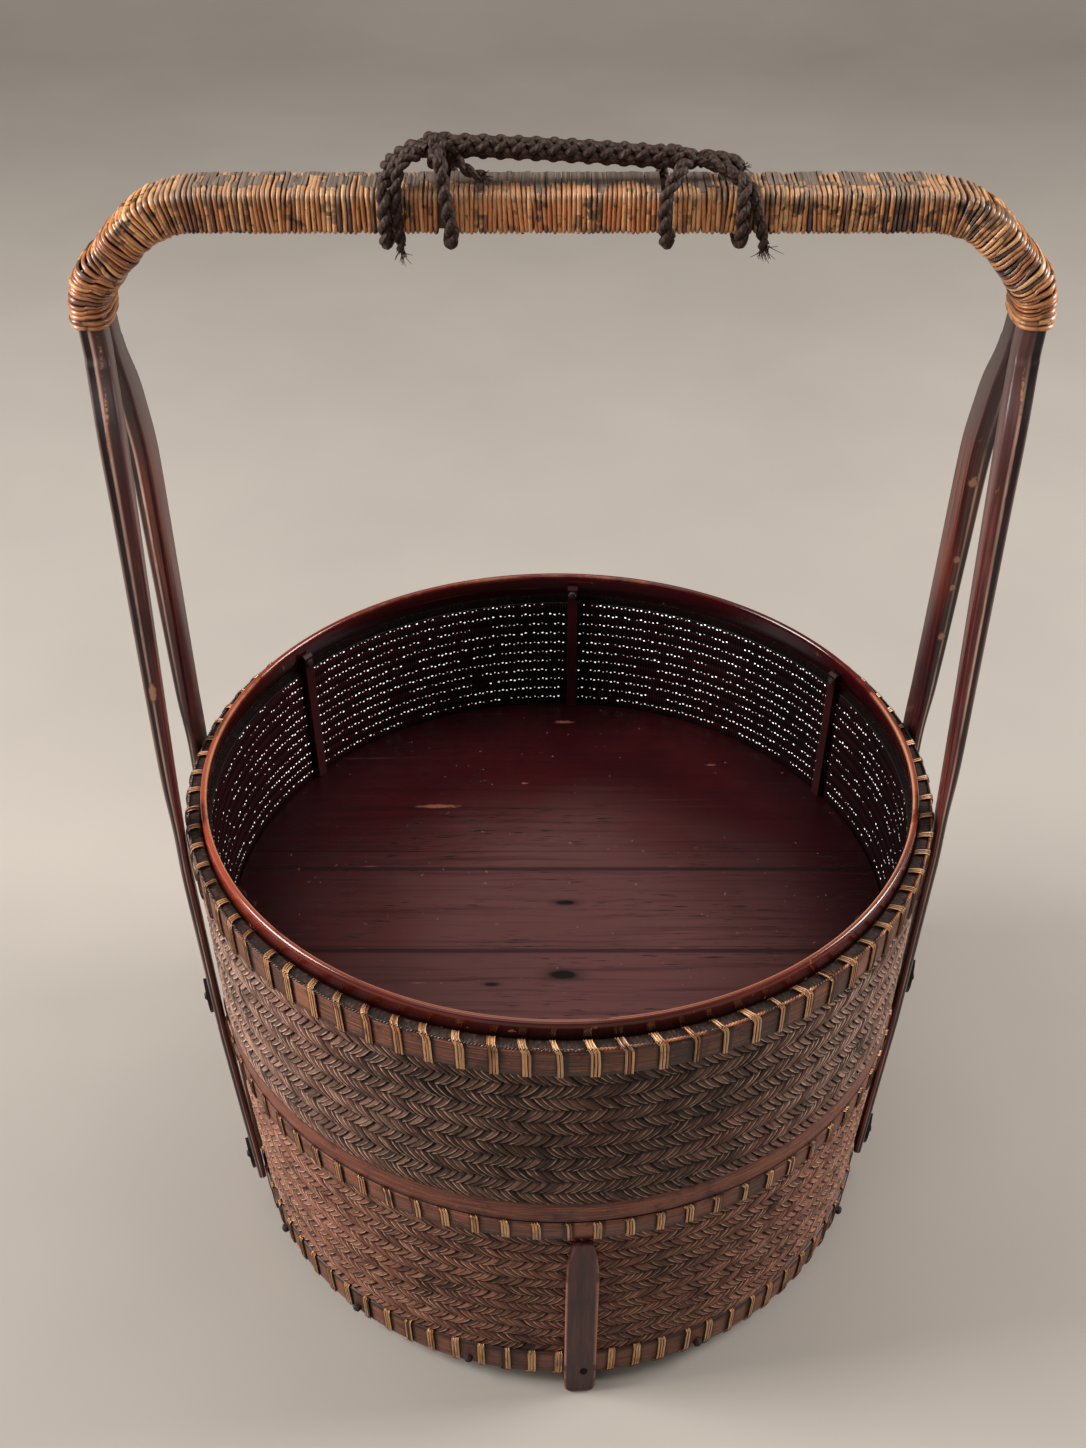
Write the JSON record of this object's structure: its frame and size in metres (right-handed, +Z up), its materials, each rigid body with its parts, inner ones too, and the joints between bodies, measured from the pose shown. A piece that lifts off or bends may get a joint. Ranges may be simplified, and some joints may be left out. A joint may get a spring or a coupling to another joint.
{
  "type": "two_tier_bamboo_handle_basket",
  "caption": "Round two-tier woven bamboo basket with a lacquered tray inside, cane-tied rims, forked bamboo legs and a tall bent handle wound with cane and dark rope",
  "frame": {"origin": "on the table under the middle of the basket, at the foot of its slats", "axes": "+Z up; +X to the right as seen from the front, along the handle bar; -Y is the front seen in the picture"},
  "size_m": [0.4378, 0.398, 0.6296],
  "materials": {
    "weave_dark": "smoked bamboo herringbone weave, satin",
    "weave_red": "red-brown bamboo herringbone weave, satin",
    "lacquer_red": "red-brown lacquer, glossy, worn at the edge",
    "lacquer_dark": "dark maroon lacquer, satin",
    "rim_binding": "bamboo strip with tan cane ties, satin",
    "plain_hoop": "pinkish brown bamboo strip with dark grain, satin",
    "floor_board": "dark maroon stained planks with knots, half gloss",
    "foot_slat": "dark purple-brown bamboo, pale at the edges, satin",
    "peg": "dark bamboo pegs, satin",
    "leg": "dark maroon lacquered bamboo, glossy, chipped",
    "iron": "blackened iron, rough",
    "bar": "dark wood, bare only in small gaps of the cane",
    "cane": "amber cane winding, glossy with dark patches",
    "rope": "dark brown-grey twisted cord, matt"
  },
  "bodies": {
    "lower_tier": {"lower_wall": "weave_red", "lower_lip": "lacquer_red", "middle_rim": "rim_binding", "bottom_rim": "rim_binding", "lower_floor_board_front": "floor_board", "lower_floor_board_middle": "floor_board", "lower_floor_board_back": "floor_board", "foot_slat_front": "foot_slat", "foot_slat_right": "foot_slat", "foot_slat_back": "foot_slat", "foot_slat_left": "foot_slat", "floor_peg_1": "peg", "floor_peg_2": "peg", "floor_peg_3": "peg", "floor_peg_4": "peg", "floor_peg_5": "peg", "floor_peg_6": "peg", "floor_peg_7": "peg", "floor_peg_8": "peg", "handle_leg_front_left": "leg", "handle_leg_front_right": "leg", "handle_leg_back_left": "leg", "handle_leg_back_right": "leg", "upper_plate_front_left": "iron", "upper_plate_front_right": "iron", "upper_plate_back_left": "iron", "upper_plate_back_right": "iron", "lower_plate_front_left": "iron", "lower_plate_front_right": "iron", "lower_plate_back_left": "iron", "lower_plate_back_right": "iron", "handle_bar": "bar", "cane_wrap_left": "cane", "cane_wrap_middle": "cane", "cane_wrap_right": "cane", "rope_grip": "rope", "rope_loop_left_inner": "rope", "rope_loop_left_outer": "rope", "rope_loop_right_inner": "rope", "rope_loop_right_outer": "rope"},
    "upper_tier": {"upper_wall": "weave_dark", "upper_lip": "lacquer_red", "upper_rim": "rim_binding", "upper_foot_hoop": "plain_hoop", "upper_floor_ledge": "lacquer_dark", "upper_floor_board_front": "floor_board", "upper_floor_board_middle": "floor_board", "upper_floor_board_back": "floor_board", "wall_rib_1": "lacquer_dark", "wall_rib_2": "lacquer_dark", "wall_rib_3": "lacquer_dark", "wall_rib_4": "lacquer_dark", "wall_rib_5": "lacquer_dark", "wall_rib_6": "lacquer_dark", "rib_stud_1": "iron", "rib_stud_2": "iron", "rib_stud_3": "iron", "rib_stud_4": "iron", "rib_stud_5": "iron", "rib_stud_6": "iron"}
  },
  "joints": [
    {"name": "tier_lift", "type": "slide", "parent": "lower_tier", "child": "upper_tier", "axis": [0, 0, 1], "range_m": [0, 0.2]}
  ]
}
